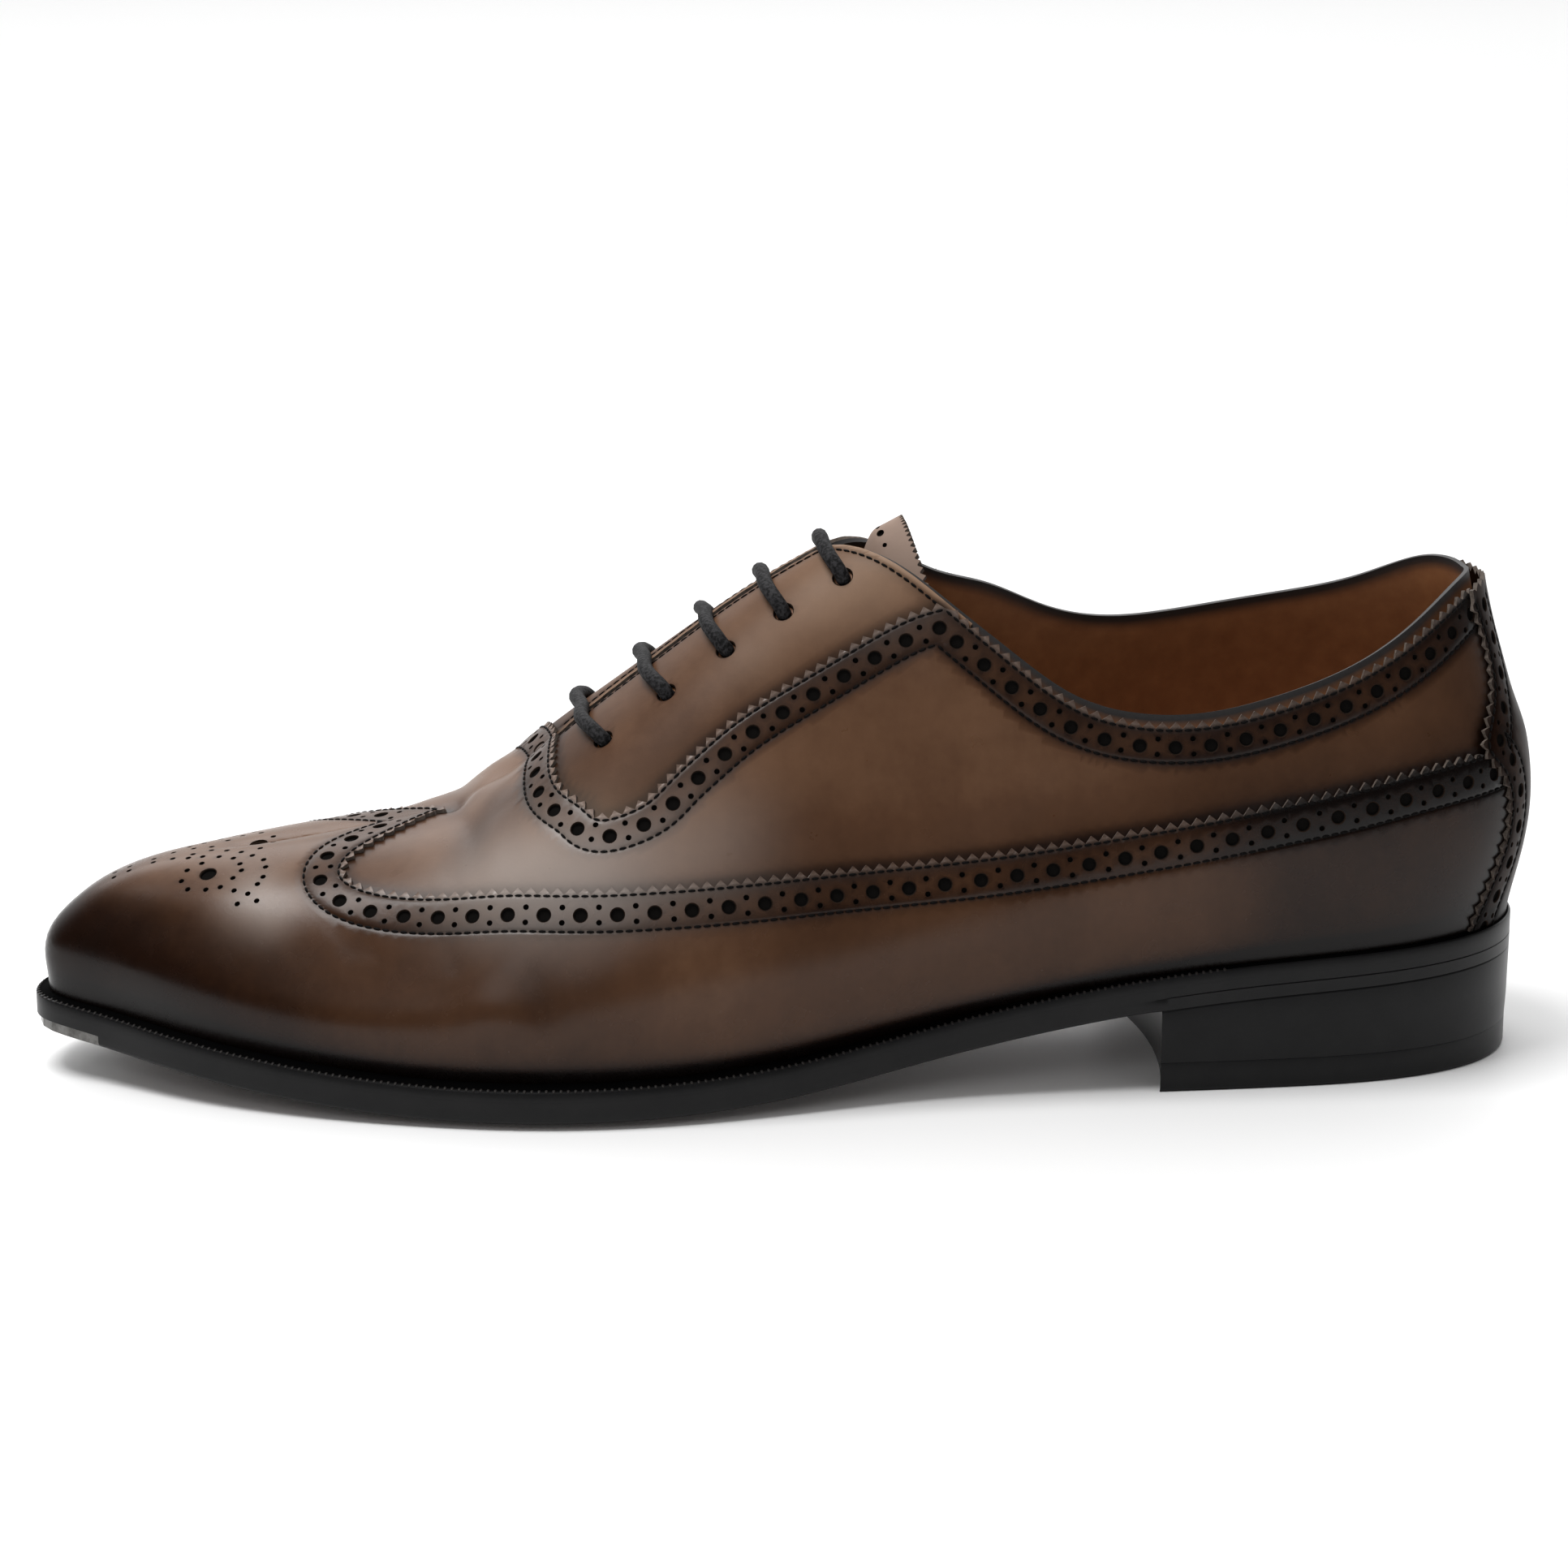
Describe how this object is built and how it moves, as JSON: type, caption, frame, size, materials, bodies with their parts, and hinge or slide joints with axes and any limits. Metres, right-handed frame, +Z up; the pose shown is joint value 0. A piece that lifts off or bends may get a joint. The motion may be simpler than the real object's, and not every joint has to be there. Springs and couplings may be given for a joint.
{
  "type": "oxford brogue shoe",
  "caption": "Left lace-up oxford brogue in burnished brown leather, with a long wing cap, punched and gimped edges, a welted leather sole and a stacked heel; holds a foot.",
  "frame": {"origin": "on the floor under the middle of the shoe's box", "axes": "+Z up from the floor, -X towards the toe, -Y towards the lateral (outer) side"},
  "size_m": [0.301, 0.1017, 0.1094],
  "materials": {
    "facing_leather": "burnished calf, lighter tan on the lace facings, natural lining inside",
    "vamp_leather": "burnished calf, tan in the middle and darker at the seams",
    "wing_leather": "polished calf, burnished nearly black at the toe and heel",
    "strap_leather": "dark burnished calf",
    "tongue_leather": "brown calf with a pinked top edge",
    "lace_cotton": "waxed round braid",
    "insole_leather": "natural vegetable-tanned leather",
    "welt_leather": "black edge ink, fine wheel marks",
    "sole_leather": "black edge ink, worn tan underside",
    "plate_steel": "ground steel",
    "heel_leather": "black inked leather layers",
    "top_piece_rubber": "matt black"
  },
  "bodies": {
    "root": {"upper": "facing_leather", "vamp_quarter": "vamp_leather", "longwing": "wing_leather", "heel_strap": "strap_leather", "tongue": "tongue_leather", "lace": "lace_cotton", "insole": "insole_leather", "welt": "welt_leather", "outsole": "sole_leather", "toe_plate": "plate_steel", "heel_stack": "heel_leather", "heel_top_piece": "top_piece_rubber"}
  },
  "joints": []
}
